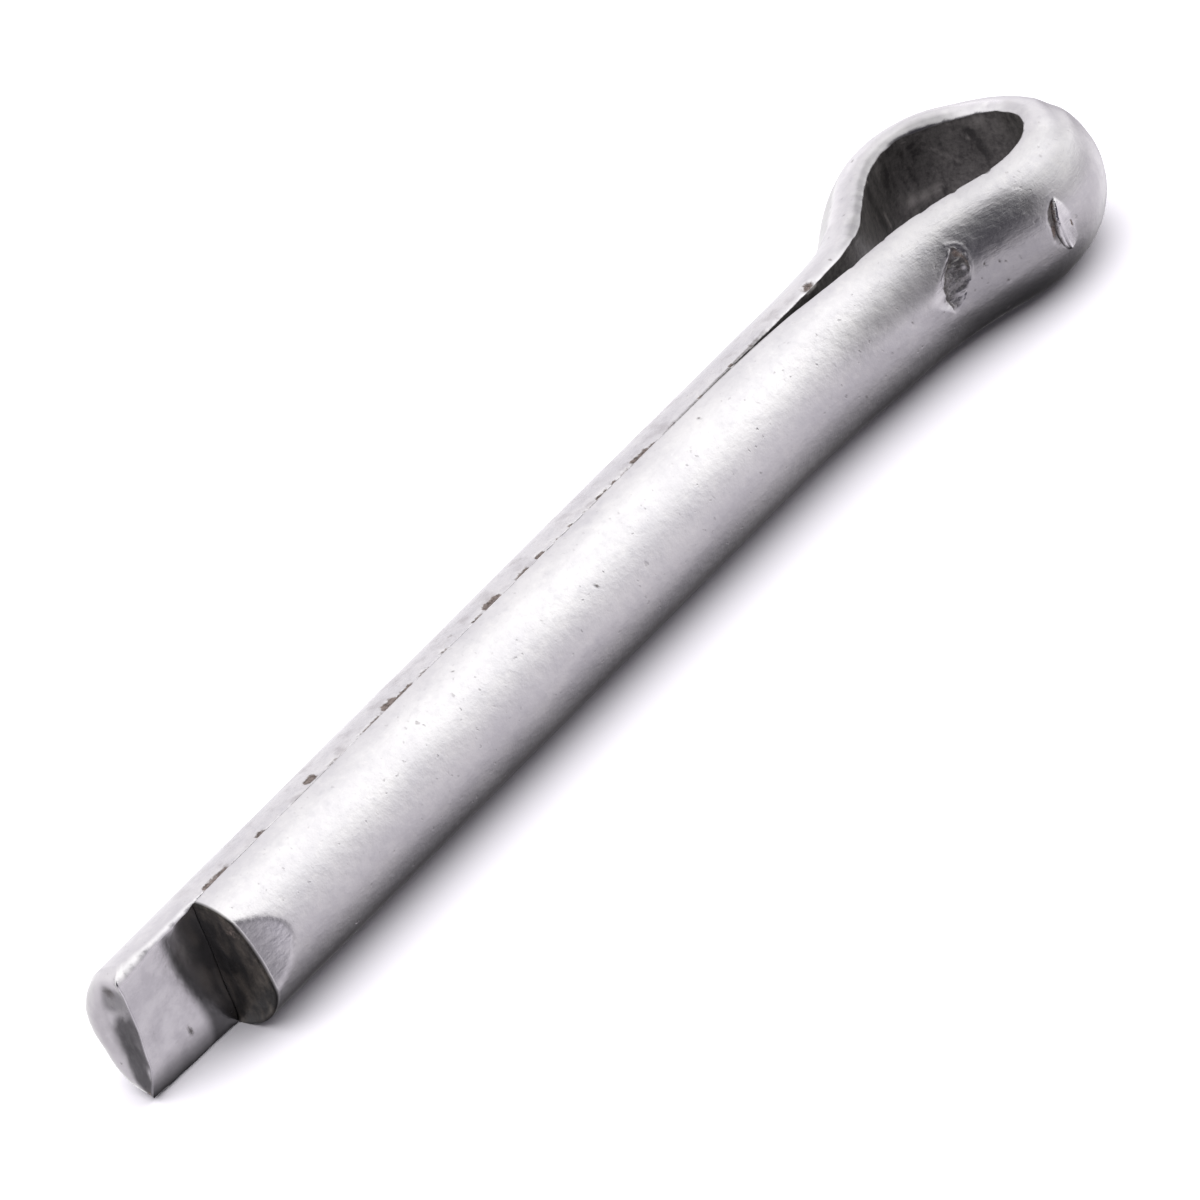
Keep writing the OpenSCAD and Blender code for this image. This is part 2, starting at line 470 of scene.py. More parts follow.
# Where small marks need a finer mesh: lengths, columns, steps along and across.
PATCHES = [
    (33.0, 35.4, column(40, 34.2), column(106, 34.2), 3, 3),
    (37.1, 38.5, column(52, 37.8), column(114, 37.8), 3, 3),
    (40.9, 48.4, 2, N_FLAT - 1, 1, 4),
]
grid = V[:n_body].reshape(N_ST, n_sec, 3)
gone = np.zeros((N_ST, n_sec), bool)
extra_v, extra_u, extra_g, extra_p, extra_f, extra_q = [], [], [], [], [], []
edge_points = {}  # (from, to) -> the new points between two old ones
n_now = len(V)
for ua, ub, j_lo, j_hi, ku, kv in PATCHES:
    i_lo, i_hi = int(np.searchsorted(U, ua)), int(np.searchsorted(U, ub))
    pack = np.concatenate(
        [grid, np.repeat(U, n_sec).reshape(N_ST, n_sec, 1), girth[:, :, None], PHI[:, :, None], ON_FLAT[:, :, None]],
        axis=2,
    )
    fine_v = finer(finer(pack, i_lo, i_hi, ku, 0), j_lo, j_hi, kv, 1)
    rows, cols = fine_v.shape[:2]
    ids = np.full((rows, cols), -1)
    ids[::ku, ::kv] = np.arange(i_lo, i_hi + 1)[:, None] * n_sec + np.arange(j_lo, j_hi + 1)[None, :]
    new = ids < 0
    ids[new] = n_now + np.arange(new.sum())
    n_now += int(new.sum())
    extra_v.append(fine_v[new][:, :3])
    extra_u.append(fine_v[new][:, 3])
    extra_g.append(fine_v[new][:, 4])
    extra_p.append(fine_v[new][:, 5])
    extra_f.append(np.round(fine_v[new][:, 6]))
    gone[i_lo:i_hi, j_lo:j_hi] = True
    extra_q.append(np.stack([ids[:-1, :-1], ids[:-1, 1:], ids[1:, 1:], ids[1:, :-1]], -1).reshape(-1, 4))
    for line_ids, k in ((ids[0], kv), (ids[-1], kv), (ids[:, 0], ku), (ids[:, -1], ku)):
        for m in range(0, len(line_ids) - 1, k):
            if k > 1:
                mid = [int(v) for v in line_ids[m + 1 : m + k]]
                edge_points[(int(line_ids[m]), int(line_ids[m + k]))] = mid
                edge_points[(int(line_ids[m + k]), int(line_ids[m]))] = mid[::-1]
body_quads = quads[: (N_ST - 1) * n_sec].reshape(N_ST - 1, n_sec, 4)
keep = ~gone[:-1]
touch = np.zeros_like(keep)
ends_ = np.array(sorted({v for e in edge_points for v in e}))
on_edge = np.zeros(n_body, bool)
on_edge[ends_] = True
touch = keep & (on_edge[body_quads].sum(-1) >= 2)
polygons = []
for quad in body_quads[touch]:
    loop = []
    for k in range(4):
        a, b = int(quad[k]), int(quad[(k + 1) % 4])
        loop += [a] + edge_points.get((a, b), [])
    polygons.append(loop)
quads = np.vstack([body_quads[keep & ~touch], quads[(N_ST - 1) * n_sec :]] + extra_q)
n_first = len(V)
V = np.vstack([V] + extra_v)
n_more = len(V) - n_first
uu = np.r_[uu, np.concatenate(extra_u)]
gg = np.r_[gg, np.concatenate(extra_g)]
pp = np.r_[pp, np.concatenate(extra_p)]
on_flat = np.r_[on_flat, np.concatenate(extra_f)]
is_short_face = np.r_[is_short_face, np.zeros(n_more)]
is_long_face = np.r_[is_long_face, np.zeros(n_more)]
facet = np.r_[facet, np.zeros(n_more)]
# The fans of the many-sided faces, for the normals only.
fans = np.array([[l[0], l[k], l[k + 1]] for l in polygons for k in range(1, len(l) - 1)])

# ---------------------------------------------------------------- marks
ones = (is_short_face + is_long_face) < 0.5
near = ones & (uu < U_NOSE) & (on_flat < 0.5)
far = ones & (uu > U_NOSE) & (on_flat < 0.5)
back = ones & (on_flat < 0.5)
normals = vertex_normals(V)
push = np.zeros(len(V))  # outward, in mm
flat_far = ones & ((on_flat > 0.5) | (pp > 179.5)) & (uu > LENGTH - 4.2)
dirt = np.zeros(len(V))  # brown dirt
scuff = np.zeros(len(V))  # darker, rougher steel
# The shine mask is partly burnished steel and partly painted highlight: glints in the gouge, on the leaf, along the far
# ring's inner edge and on the long prong's end.
burnish_and_painted_glint = np.zeros(len(V))  # brighter, smoother steel
chart = np.stack([uu, gg, 40.0 * is_short_face + 60.0 * is_long_face], 1)
shank = smooth(uu, u_near(3.0), u_near(-1.0)) + smooth(uu, u_far(3.0), u_far(-1.0))

# Slight unevenness of the drawn wire, longer along it than across.
soft = chart * np.array([0.45, 1.0, 1.0])
push += back * 0.010 * noise(soft, 0.9, 50, 2)
push += back * 0.0035 * noise(soft, 3.0, 51, 2)
eyeward = smooth(uu, u_near(2.0), u_near(6.0)) * smooth(uu, u_far(3.0), u_far(7.0))
push += back * eyeward * 0.010 * noise(chart * np.array([0.7, 1, 1]), 2.2, 52, 2)

# The bare flat of the long prong is slightly wavy, with two small pits.
push += flat_far * (on_flat > 0.5) * 0.010 * noise(np.stack([V[:, 0], V[:, 2], 0 * V[:, 0]], 1), 1.1, 57, 2)

V[:, 0] -= 0.24 * smooth(uu, LENGTH - 1.6, LENGTH) * (uu > LENGTH - 2) * smooth(V[:, 2], -0.8, -2.2)

x, y, z = V.T


def from_line(points):
    """Distance in X and Z from a line of points, and how far along it, 0 to 1."""
    pts = np.array(points, float)
    best = np.full(len(V), 9.0)
    where = np.zeros(len(V))
    m = np.nonzero((x > pts[:, 0].min() - 1) & (x < pts[:, 0].max() + 1))[0]
    for k in range(len(pts) - 1):
        p, q = pts[k], pts[k + 1]
        t = ((x[m] - p[0]) * (q[0] - p[0]) + (z[m] - p[1]) * (q[1] - p[1])) / ((q - p) @ (q - p))
        t = np.clip(t, 0, 1)
        d = np.hypot(x[m] - p[0] - t * (q[0] - p[0]), z[m] - p[1] - t * (q[1] - p[1]))
        less = d < best[m]
        best[m] = np.where(less, d, best[m])
        where[m] = np.where(less, (k + t) / (len(pts) - 1), where[m])
    return best, where


def spot(cx, cz, rx, rz):
    return bump(np.hypot((x - cx) / rx, (z - cz) / rz), 0, 1)


# The gouge across the near side of the eye: a bright smooth left flank with a painted highlight, a rough
# brown right one, and a thin burr round its top; small painted glints sit inside it.
GZ = (1.56, 1.51, 1.32, 1.20, 1.07, 0.93, 0.79, 0.66, 0.53, 0.34, 0.15, -0.06, -0.26)
GA = (8.03, 8.00, 7.66, 7.44, 7.20, 6.90, 6.62, 6.42, 6.36, 6.50, 6.72, 6.95, 7.12)
GB = (8.04, 8.03, 7.81, 7.66, 7.50, 7.35, 7.23, 7.15, 7.12, 7.10, 7.10, 7.12, 7.17)
GC = (8.06, 8.18, 8.29, 8.29, 8.27, 8.23, 8.19, 8.12, 8.05, 7.91, 7.76, 7.55, 7.23)
zone = near & (z < 1.7) & (z > -0.45) & (x > 6.0) & (x < 9.2)
jag = 0.035 * noise(np.stack([z, 0 * z, 0 * z], 1), 7.0, 63, 2)
xa, xb, xc = (np.interp(z, GZ[::-1], g[::-1]) for g in (GA, GB, GC))
xb, xc = xb + jag, xc + 1.2 * jag
depth = 0.15 * smooth(z, 1.56, 1.18) * smooth(z, -0.30, 0.25)
left = np.clip((x - xa) / np.maximum(xb - xa, 0.02), 0, 1)
right = np.clip((xc - x) / np.maximum(xc - xb, 0.02), 0, 1)
groove = np.where(x < xb, left**1.5, smooth(right, 0.0, 1.0) ** 0.8)
grain_p = np.stack([x * 1.0, z * 2.2, 0 * x], 1)
inside = zone * (x > xb - 0.01) * smooth(x, xc + 0.01, xc - 0.06) * smooth(z, 1.57, 1.50) * smooth(z, -0.30, -0.2)
push -= zone * groove * depth
push -= inside * depth * 0.35 * noise(grain_p, 3.4, 60, 3)
push += zone * 0.006 * bump(x - xc, 0.03, 0.12) * smooth(z, 1.5, 1.2) * smooth(z, -0.3, 0.1)
burr_d, burr_t = from_line([(7.90, 1.66), (8.00, 1.665), (8.10, 1.63), (8.24, 1.56), (8.35, 1.46), (8.43, 1.34)])
push += near * 0.007 * bump(burr_d, 0, 0.085) * smooth(burr_t, 0.0, 0.15) * smooth(burr_t, 1.0, 0.8)
push += zone * 0.022 * bump(x - xb, -0.05, 0.07) * smooth(z, 1.54, 1.45) * smooth(z, 0.7, 1.0)
scuff += inside * (0.42 + 0.5 * noise(grain_p, 2.2, 64, 2) + 0.35 * spot(7.15, 0.45, 0.22, 0.35) + 0.3 * smooth(z, 0.5, 1.0) - 0.15 * smooth(z, 0.4, 0.0))
scuff += zone * 0.5 * bump(x - xb, 0.03, 0.06) * smooth(z, 1.5, 1.3) * smooth(z, -0.25, 0.0)
dirt += inside * (0.85 * spot(8.10, 1.30, 0.26, 0.24) + 0.6 * spot(8.20, 0.92, 0.12, 0.40) + 0.5 * spot(7.45, 0.75, 0.2, 0.25))
# Painted glints inside the gouge, and its bright left flank: burnished steel with a painted highlight.
burnish_and_painted_glint += inside * (0.9 * spot(8.02, 0.87, 0.11, 0.20) + 0.8 * spot(7.93, 0.44, 0.10, 0.08) + 0.5 * spot(7.70, 0.22, 0.08, 0.06))
burnish_and_painted_glint += zone * 0.75 * (x < xb) * smooth(left, 0.05, 0.5) * smooth(z, 0.35, 0.85)

# The lap at the end of the eye: a leaf of steel pressed over a dark crack.
FZ = (1.15, 1.10, 0.90, 0.63, 0.31, 0.0, -0.25, -0.44, -0.60, -0.68, -0.74)
FL = (11.53, 11.47, 11.34, 11.21, 11.135, 11.115, 11.15, 11.20, 11.29, 11.37, 11.50)
FR = (11.55, 11.58, 11.68, 11.76, 11.80, 11.83, 11.85, 11.82, 11.72, 11.62, 11.52)
FS = (11.50, 11.32, 11.03, 10.88, 10.87, 10.80, 10.86, 11.0, 11.2, 11.35, 11.50)
zone = near & (z < 1.3) & (z > -0.95) & (x > 10.3) & (x < 12.6)
fl, fr, fs = (np.interp(z, FZ[::-1], g[::-1]) for g in (FL, FR, FS))
fr = fr + 1.5 * jag
span = smooth(z, 1.15, 1.0) * smooth(z, -0.76, -0.66)
w = (x - fl) / np.maximum(fr - fl, 0.05)
leaf = smooth(x, fl - 0.014, fl + 0.024) * smooth(w, 1.30, 0.45) * span
push += zone * leaf * (0.008 + 0.062 * smooth(w, 1.1, 0.0))
push += zone * span * 0.02 * bump(w, 0.16, 0.14)
push += zone * leaf * 0.012 * noise(np.stack([x * 2.5, z * 0.8, 0 * x], 1), 2.4, 65, 2)
crack = bump(x - fl, -0.030, 0.055) * span * smooth(z, -0.66, -0.20)
push -= zone * crack * 0.05
pit = smooth(x, fs - 0.04, fs + 0.14) * smooth(x, fl + 0.01, fl - 0.02) * smooth(z, 1.16, 1.0) * smooth(z, -0.55, 0.35)
push -= zone * pit * 0.045 * (1 + 0.5 * noise(grain_p, 4.0, 61, 2))
scuff += zone * (crack * 1.3 + pit * 1.1)
blotch = smooth(noise(np.stack([x, z, 0 * x], 1), 3.4, 62, 3), -0.1, 0.5)
dirt += zone * (
    (0.35 + 0.75 * blotch) * pit
    + 0.7 * spot(10.98, 0.22, 0.14, 0.24) * blotch
    + 0.85 * spot(11.66, 0.10, 0.09, 0.24)
    + 0.5 * crack * smooth(z, 0.2, 0.6)
)
# The leaf is lighter: burnished steel with a painted highlight.
burnish_and_painted_glint += zone * smooth(x, fl - 0.012, fl + 0.022) * smooth(w, 1.02, 0.82) * span * (0.75 + 0.25 * smooth(w, 0.45, 0.1))

# Tone of the steel, most of it painted light: painted shade on the eye's near side, its inner edges and the far ring, a
# painted highlight along the neck ridge, and a lighter pinched facet.
tone_and_painted_light = np.ones(len(V))
flow = noise(soft, 1.1, 55, 2)
# Painted shade on the near side of the eye: its upper band, a band down its middle, its underside and a patch towards
# its end.
tone_and_painted_light -= near * 0.12 * smooth(uu, 30.5, 32.5) * smooth(uu, 39.9, 39.0) * smooth(gg, 1.5, 0.7) * (1 + 0.5 * flow)
tone_and_painted_light -= near * 0.30 * bump(gg, 1.92, 0.72) * smooth(uu, 28.6, 31.2) * smooth(uu, 35.2, 33.0)
tone_and_painted_light -= near * 0.30 * smooth(uu, 29.5, 32.0) * smooth(uu, 39.0, 37.5) * smooth(pp, 96, 118)
tone_and_painted_light -= near * 0.30 * bump(np.hypot((uu - 37.45) / 0.60, (gg - 1.66) / 0.45), 0, 1)
rim = 1 - on_flat
# Painted shade along the inner edges of the far ring and over the nose of the eye.
tone_and_painted_light -= ones * rim * 0.10 * smooth(uu, 42.7, 43.4) * smooth(uu, 50.5, 48.0) * smooth(gg, 0.30, -0.30)
tone_and_painted_light -= ones * rim * 0.38 * smooth(uu, 42.2, 43.0) * smooth(uu, 51.2, 49.2) * smooth(gg, -0.16, -0.34)
tone_and_painted_light -= ones * rim * 0.14 * smooth(uu, 39.5, 40.3) * smooth(uu, 41.5, 40.9) * smooth(gg, 0.20, -0.1)
tone_and_painted_light -= back * 0.13 * smooth(uu, 39.1, 39.5) * smooth(uu, 40.8, 40.3) * bump(gg, 0.95, 0.6)
# Painted shade on the outer side of the far ring, and a painted highlight along the ridge in its neck.
tone_and_painted_light -= back * 0.22 * smooth(uu, 44.0, 46.0) * smooth(uu, 50.5, 48.8) * smooth(gg, 0.66, 1.0) * (1 + 0.6 * flow)
neck_g = np.interp(uu, [44.6, 45.4, 46.0, 46.65, 47.5, 48.5, 49.2, 50.2], [-0.05, 0.16, 0.33, 0.52, 0.50, 0.60, 1.05, 1.6])
tone_and_painted_light += back * 0.16 * smooth(uu, 44.8, 45.8) * smooth(uu, 50.3, 49.3) * bump(gg - neck_g, 0.0, 0.32)
tone_and_painted_light *= 1 + facet * (0.22 + 0.55 * smooth(x, -25.75, -24.95) * smooth(z, -0.5, 0.5))
# A painted highlight along the inner edge of the far ring, on burnished steel.
burnish_and_painted_glint += ones * rim * 0.8 * smooth(uu, 41.0, 41.3) * smooth(uu, 42.75, 42.4) * bump(gg, 0.02, 0.16)


# The ridge over the end of the eye, and the hollow outside it.
ridge_g = np.interp(uu, [38.3, 38.8, 39.3, 39.8, 40.1, 40.4, 40.75, 41.2], [0.08, 0.12, 0.28, 0.30, 0.33, 0.42, 0.85, 1.7])
along = smooth(uu, 38.2, 39.2) * smooth(uu, 41.3, 40.6)
push += back * along * 0.016 * bump(gg - ridge_g, 0.0, 0.15)
push -= back * smooth(uu, 38.9, 39.5) * smooth(uu, 41.3, 40.4) * 0.045 * bump(gg - ridge_g, 0.58, 0.50)
# The ridge in the neck on the long prong's side, with the flattened bulge outside it.
ridge_g = np.interp(uu, [45.2, 46.4, 47.5, 48.5, 49.2, 50.2], [0.62, 0.56, 0.48, 0.60, 1.05, 1.6])
along = smooth(uu, 45.2, 46.2) * smooth(uu, 50.0, 49.0)
push += back * along * 0.030 * bump(gg - ridge_g, 0.0, 0.24)
push -= back * along * 0.022 * bump(gg - ridge_g, 0.65, 0.60)
# A narrow flattened land along the inside edge of the near side.
along = smooth(uu, 35.5, 37.0) * smooth(uu, 39.4, 38.4)
push -= back * along * 0.020 * bump(gg, 0.20, 0.07)
# A faint fin along the underside of the eye's near side.
fin_phi = np.interp(uu, [30.5, 31.6, 32.6, 33.7, 34.7, 36.5, 38.5], [114, 120, 126, 133, 139, 144, 146])
along = smooth(uu, 31.0, 32.5) * smooth(uu, 38.8, 37.8)
push += near * along * 0.018 * bump(pp - fin_phi, 0.0, 4.0)

# Chips along the seam, on the long prong's side: X, half length, width, depth.
CHIPS = [
    (-25.35, 0.16, 0.20, 0.7), (-24.75, 0.55, 0.22, 0.6), (-22.75, 0.20, 0.26, 0.7), (-20.15, 0.26, 0.50, 1.0),
    (-19.2, 0.35, 0.10, 0.4), (-17.7, 0.30, 0.10, 0.5), (-17.2, 0.30, 0.14, 0.6), (-16.45, 0.36, 0.36, 1.0),
    (-15.75, 0.40, 0.16, 0.7), (-14.9, 0.28, 0.10, 0.5), (-13.8, 0.25, 0.12, 0.4), (-13.2, 0.16, 0.60, 0.25),
    (-12.2, 0.30, 0.12, 0.6), (-11.45, 0.42, 0.34, 1.0), (-10.0, 0.36, 0.16, 0.8), (-9.1, 0.22, 0.22, 0.9),
    (-8.3, 0.22, 0.07, 0.4), (-7.6, 0.14, 0.14, 0.6), (-6.9, 0.16, 0.08, 0.4), (-6.1, 0.28, 0.12, 0.8),
    (-5.5, 0.12, 0.14, 0.8), (-5.0, 0.20, 0.08, 0.5), (-4.2, 0.40, 0.22, 1.0), (-3.7, 0.25, 0.10, 0.6),
    (-2.6, 0.12, 0.08, 0.5), (-1.2, 0.14, 0.12, 0.6), (0.4, 0.10, 0.10, 0.6), (1.35, 0.08, 0.10, 0.5),
]
side_g = np.abs(gg)
ragged = np.stack([x, 0 * x, 0 * x], 1)
for cx, half, wide, depth in CHIPS:
    m = far & (np.abs(x - cx) < 1.6 * half + 0.1) & (gg < 1.0)
    edge = wide * (1 + 0.45 * noise(ragged[m], 7.0, 70, 2))
    across = smooth(gg[m], edge, edge * 0.35) if wide < 0.45 else bump(gg[m], 0.45 * wide, 0.55 * wide)
    along = smooth(np.abs(x[m] - cx), half * 1.15, half * 0.6)
    push[m] -= 0.055 * depth * along * across
    dirt[m] += 1.35 * depth * along * across
# Pits that stand out on the near side and on the far ring: length, girth, size, depth.
PITS = [
    (35.41, 2.53, 0.08, 0.9), (35.94, 2.69, 0.09, 1.0), (36.60, 2.95, 0.07, 0.8), (36.00, 3.47, 0.09, 0.9),
    (34.68, 3.13, 0.07, 0.6), (31.90, 2.66, 0.07, 0.7), (29.42, 3.80, 0.08, 0.7), (24.08, 0.53, 0.09, 0.8),
    (25.76, 1.59, 0.08, 0.7), (29.89, 2.33, 0.07, 0.6), (17.13, 2.01, 0.09, 0.9), (11.66, 0.73, 0.08, 0.7),
    (48.43, 0.12, 0.07, 0.9), (38.91, 0.77, 0.06, 0.7), (38.32, 0.77, 0.06, 0.7), (36.13, 2.82, 0.06, 0.8),
    (14.93, 1.62, 0.09, 0.9), (37.3, 2.2, 0.05, 0.6), (33.4, 2.9, 0.05, 0.6), (35.1, 2.9, 0.05, 0.6),
]
for cu, cg, r, d in PITS:
    hole = back * bump(np.hypot((uu - cu) / r, (gg - cg) / r) * (1 + 0.3 * jag * 20), 0, 1.2)
    push -= 0.02 * d * hole
    scuff += 1.0 * d * hole
    dirt += 0.35 * d * hole
# Small nicks along the inside edges of the eye.
nick = noise(np.stack([uu, 0 * uu, 0 * uu], 1), 3.2, 75, 3)
push -= ones * (uu > u_near(5.0)) * (uu < u_far(6.0)) * 0.05 * smooth(nick, 0.15, 0.6) * bump(gg, -0.12, 0.22) * (1 - on_flat)
# The seam itself holds a little dirt.
seam = 0.10 + 0.45 * smooth(x, -5.5, -1.0) + 0.22 * smooth(noise(ragged, 0.8, 76, 2), 0.0, 0.6)
scuff += ones * rim * seam * smooth(gg, 0.05, -0.02) * smooth(uu, u_near(3.0), u_near(1.0)) * (uu < U_NOSE) * smooth(uu, 1.0, 2.5)
scuff += ones * rim * seam * smooth(gg, 0.06, -0.02) * smooth(uu, u_far(3.0), u_far(1.0)) * smooth(uu, u_far(-25.2), u_far(-24.6))
# The chip with grit in it where the prongs part.
m = far & (np.hypot((x - 4.37) / 0.28, (y - 0.22) / 0.22) < 1.6)
grit = bump(np.hypot((x[m] - 4.37) / 0.30, (y[m] - 0.20) / 0.24), 0, 1.3)
push[m] -= 0.10 * grit * (1 + 0.6 * noise(np.stack([x[m], y[m], 0 * x[m]], 1), 6.0, 71, 2))
dirt[m] += 1.0 * grit

V = V + normals * push[:, None]

# Lighter and darker patches over the painted shade inside the eye, at lengths along the wire and heights.
wall = np.full(len(V), 0.15)
z0 = V[:, 2]
WALL = [  # length, height, half length, half height, lightness
    (44.80, -0.12, 0.40, 0.34, 0.60), (44.30, -0.22, 0.42, 0.30, 0.55), (43.85, -0.20, 0.32, 0.34, 0.50),
    (44.50, 0.20, 0.25, 0.25, 0.20), (43.67, -0.36, 0.13, 0.14, -0.8), (44.42, 0.02, 0.09, 0.10, -0.4),
    (43.00, 0.45, 0.13, 0.14, -0.35), (44.38, 1.87, 0.17, 0.05, 0.45), (44.22, 1.64, 0.20, 0.13, -0.30),
    (44.10, 1.34, 0.26, 0.22, -0.26), (44.62, 1.55, 0.18, 0.30, -0.24), (42.00, 1.85, 0.60, 0.36, 0.42),
    (41.40, 1.50, 0.42, 0.60, 0.20), (42.42, 1.30, 0.11, 0.16, 0.35), (42.62, 0.02, 0.07, 0.06, 0.8),
    (43.20, -0.2, 0.16, 0.10, 0.5), (46.66, 2.04, 0.07, 0.10, 0.85), (46.76, 1.82, 0.10, 0.16, -0.5),
    (45.40, 1.20, 0.45, 0.80, -0.16), (45.00, 0.60, 0.40, 0.55, -0.10), (45.80, 1.80, 0.40, 0.28, 0.16),
    (42.9, 1.95, 0.15, 0.12, 0.18), (43.9, 1.9, 0.08, 0.06, 0.3),
]
for cu, cz, ru, rz, v in WALL:
    wall += 0.75 * v * bump(np.hypot((uu - cu) / ru, (z0 - cz) / rz), 0, 1)
for (u1, z1), (u2, z2), wide, v in (
    ((43.62, 1.22), (42.98, 0.58), 0.07, 0.30), ((42.35, 1.62), (42.0, 0.55), 0.22, -0.28),
    ((46.95, 1.80), (46.50, 0.15), 0.34, -0.22), ((46.22, 0.45), (46.10, -0.10), 0.09, 0.55),
    ((45.05, 1.2), (44.85, 0.2), 0.10, 0.12), ((44.55, 1.0), (44.40, 0.25), 0.08, -0.14),
):
    t = np.clip(((uu - u1) * (u2 - u1) + (z0 - z1) * (z2 - z1)) / ((u2 - u1) ** 2 + (z2 - z1) ** 2), 0, 1)
    wall += 0.7 * v * bump(np.hypot(uu - u1 - t * (u2 - u1), z0 - z1 - t * (z2 - z1)), 0, wide)

# Where the wire's back was hammered round the mandrel, and shows short streaks; the middle of this band is also painted
# darker as a painted dark reflection.
worked_and_painted_dark = back * smooth(uu, u_near(3.5), u_near(7.0)) * smooth(uu, 40.2, 38.6) * smooth(pp, 8, 26) * smooth(pp, 110, 66)
# Masks that need no push.
# The flats that face into the eye and between the prongs; they are painted dark as painted shade in the hollow.
inner = ones & ((on_flat > 0.5)) & (uu > u_near(0.5)) & (uu < u_far(0.5))
eye_inside_painted_shade = inner.astype(float)
torn = is_long_face * torn_strip(np.abs(y) - SLIT, z)
rolled = is_long_face * rolled_corner(np.abs(y) - SLIT, z) * (1 - torn)
crescent = is_long_face * (1 - torn) * (1 - rolled)
tone_and_painted_light -= 0.50 * rolled
# The long prong's bare flat is painted darker towards the floor: painted shade for the reflection of its contact
# shadow.
tone_and_painted_light *= 1 - flat_far * (1 - np.interp(z, [-2.3, -2.08, -1.86, -1.64, -1.42, -1.0], [0.27, 0.33, 0.42, 0.56, 0.75, 1.0]))
# Painted shade on the long prong's flat beside the short prong's end, down to its foot: it stands in for the reflection
# of the dark end face and the shade in that corner.
shade_x = np.interp(z, [-2.3, -2.0, -1.18, -0.5, 0.2, 1.9], [-27.0, -27.04, -27.11, -27.25, -27.38, -27.65])
mirror_x = np.interp(z, [-2.3, -2.15, -1.73, -0.76, 0.2, 1.77], [-26.1, -26.15, -26.43, -26.91, -27.15, -27.41])
corner = flat_far * smooth(x, shade_x - 0.24, shade_x + 0.22) * smooth(x, mirror_x + 0.35, mirror_x - 0.25)
tone_and_painted_light *= 1 - 0.82 * corner
scuff += flat_far * (1.1 * bump(np.hypot(x + 27.87, z + 1.22) / 0.15, 0, 1) + 0.4 * bump(np.hypot(x + 29.18, z + 0.34) / 0.2, 0, 1))
dirt += is_long_face * 0.9 * bump(np.hypot((np.abs(y) - 0.25) / 0.28, (z + 2.02) / 0.24), 0, 1)
# A small bright spot on the long prong's end: burnished steel with a painted glint.
burnish_and_painted_glint += is_long_face * 0.9 * bump(np.hypot((np.abs(y) - 0.06) / 0.14, (z + 1.30) / 0.30), 0, 1)
dirt += is_short_face * 0.22 * smooth(np.hypot(y / 2.2, z / 2.3), 0.7, 0.95) * smooth(z, -1.4, -0.4)
dirt += is_short_face * 0.45 * bump(np.hypot((np.abs(y) - 1.15) / 0.5, (z - 1.45) / 0.4), 0, 1)
scuff += is_long_face * 0.9 * bump(np.hypot((np.abs(y) - 0.62) / 0.40, (z - 1.58) / 0.36), 0, 1)
sheared = np.maximum(is_short_face, ones * smooth(uu, 0.12, 0.02))
# The short prong's end face is painted lighter towards its outline and darkest against the long prong: painted shade in
# the corner between the prongs.
tone_and_painted_light = np.where(is_short_face > 0.5, 1.0 + 1.2 * smooth(np.hypot(y / 2.2, z / 2.3), 0.12, 0.80), tone_and_painted_light)
coarse = far * smooth(uu, u_far(6.0), u_far(2.0)) * smooth(uu, LENGTH - 3.0, LENGTH - 5.0) * smooth(pp, 60, 35)

# ---------------------------------------------------------------- mesh object
mesh = bpy.data.meshes.new("cotter_pin_steel")
mesh.vertices.add(len(V))
mesh.vertices.foreach_set("co", (V * MM).astype(np.float32).ravel())
loops = np.r_[quads.ravel(), tris.ravel(), np.concatenate(polygons)]
mesh.loops.add(len(loops))
mesh.loops.foreach_set("vertex_index", loops.astype(np.int32))
sizes = np.r_[np.full(len(quads), 4), np.full(len(tris), 3), [len(l) for l in polygons]].astype(int)
starts = np.r_[0, np.cumsum(sizes)[:-1]]
mesh.polygons.add(len(starts))
mesh.polygons.foreach_set("loop_start", starts.astype(np.int32))
mesh.polygons.foreach_set("use_smooth", np.ones(len(starts), bool))
mesh.update(calc_edges=True)
mesh.validate()
pin = bpy.data.objects.new("cotter_pin_steel", mesh)
bpy.context.scene.collection.objects.link(pin)


def attribute(name, values):
    at = mesh.attributes.new(name, "FLOAT", "POINT")
    at.data.foreach_set("value", np.asarray(values, np.float32))


wire = mesh.attributes.new("wire", "FLOAT_VECTOR", "POINT")
wire.data.foreach_set("vector", np.stack([uu, gg, pp], 1).astype(np.float32).ravel())
attribute("facet", facet)
attribute("dirt", np.clip(dirt, 0, 1.5))
attribute("scuff", np.clip(scuff, 0, 1.3))
attribute("burnish_and_painted_glint", np.clip(burnish_and_painted_glint, 0, 1))
attribute("inside", eye_inside_painted_shade)
attribute("wall", np.clip(wall, 0.0, 1.0))
# The middle of the hammered band is painted darker: partly its worn surface, partly a painted dark reflection.
attribute("tone_and_painted_light", np.clip(tone_and_painted_light * (1 - 0.34 * worked_and_painted_dark * smooth(pp, 26, 44) * smooth(pp, 78, 62)), 0.15, 2.2))
attribute("sheared", sheared)
attribute("long_flat", flat_far)
attribute("coarse", coarse)
attribute("torn", torn)
attribute("crescent", crescent)
attribute("band", 0.10 + 0.9 * worked_and_painted_dark)
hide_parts("cotter_pin")
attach(pin, "root")

# ---------------------------------------------------------------- steel
mat = bpy.data.materials.new("worn_steel")
mat.use_nodes = True
nt = mat.node_tree
nt.nodes.clear()


def node(kind, **values):
    n = nt.nodes.new(kind)
    for k, v in values.items():
        if k in n.inputs:
            n.inputs[k].default_value = v
        else:
            setattr(n, k, v)
    return n


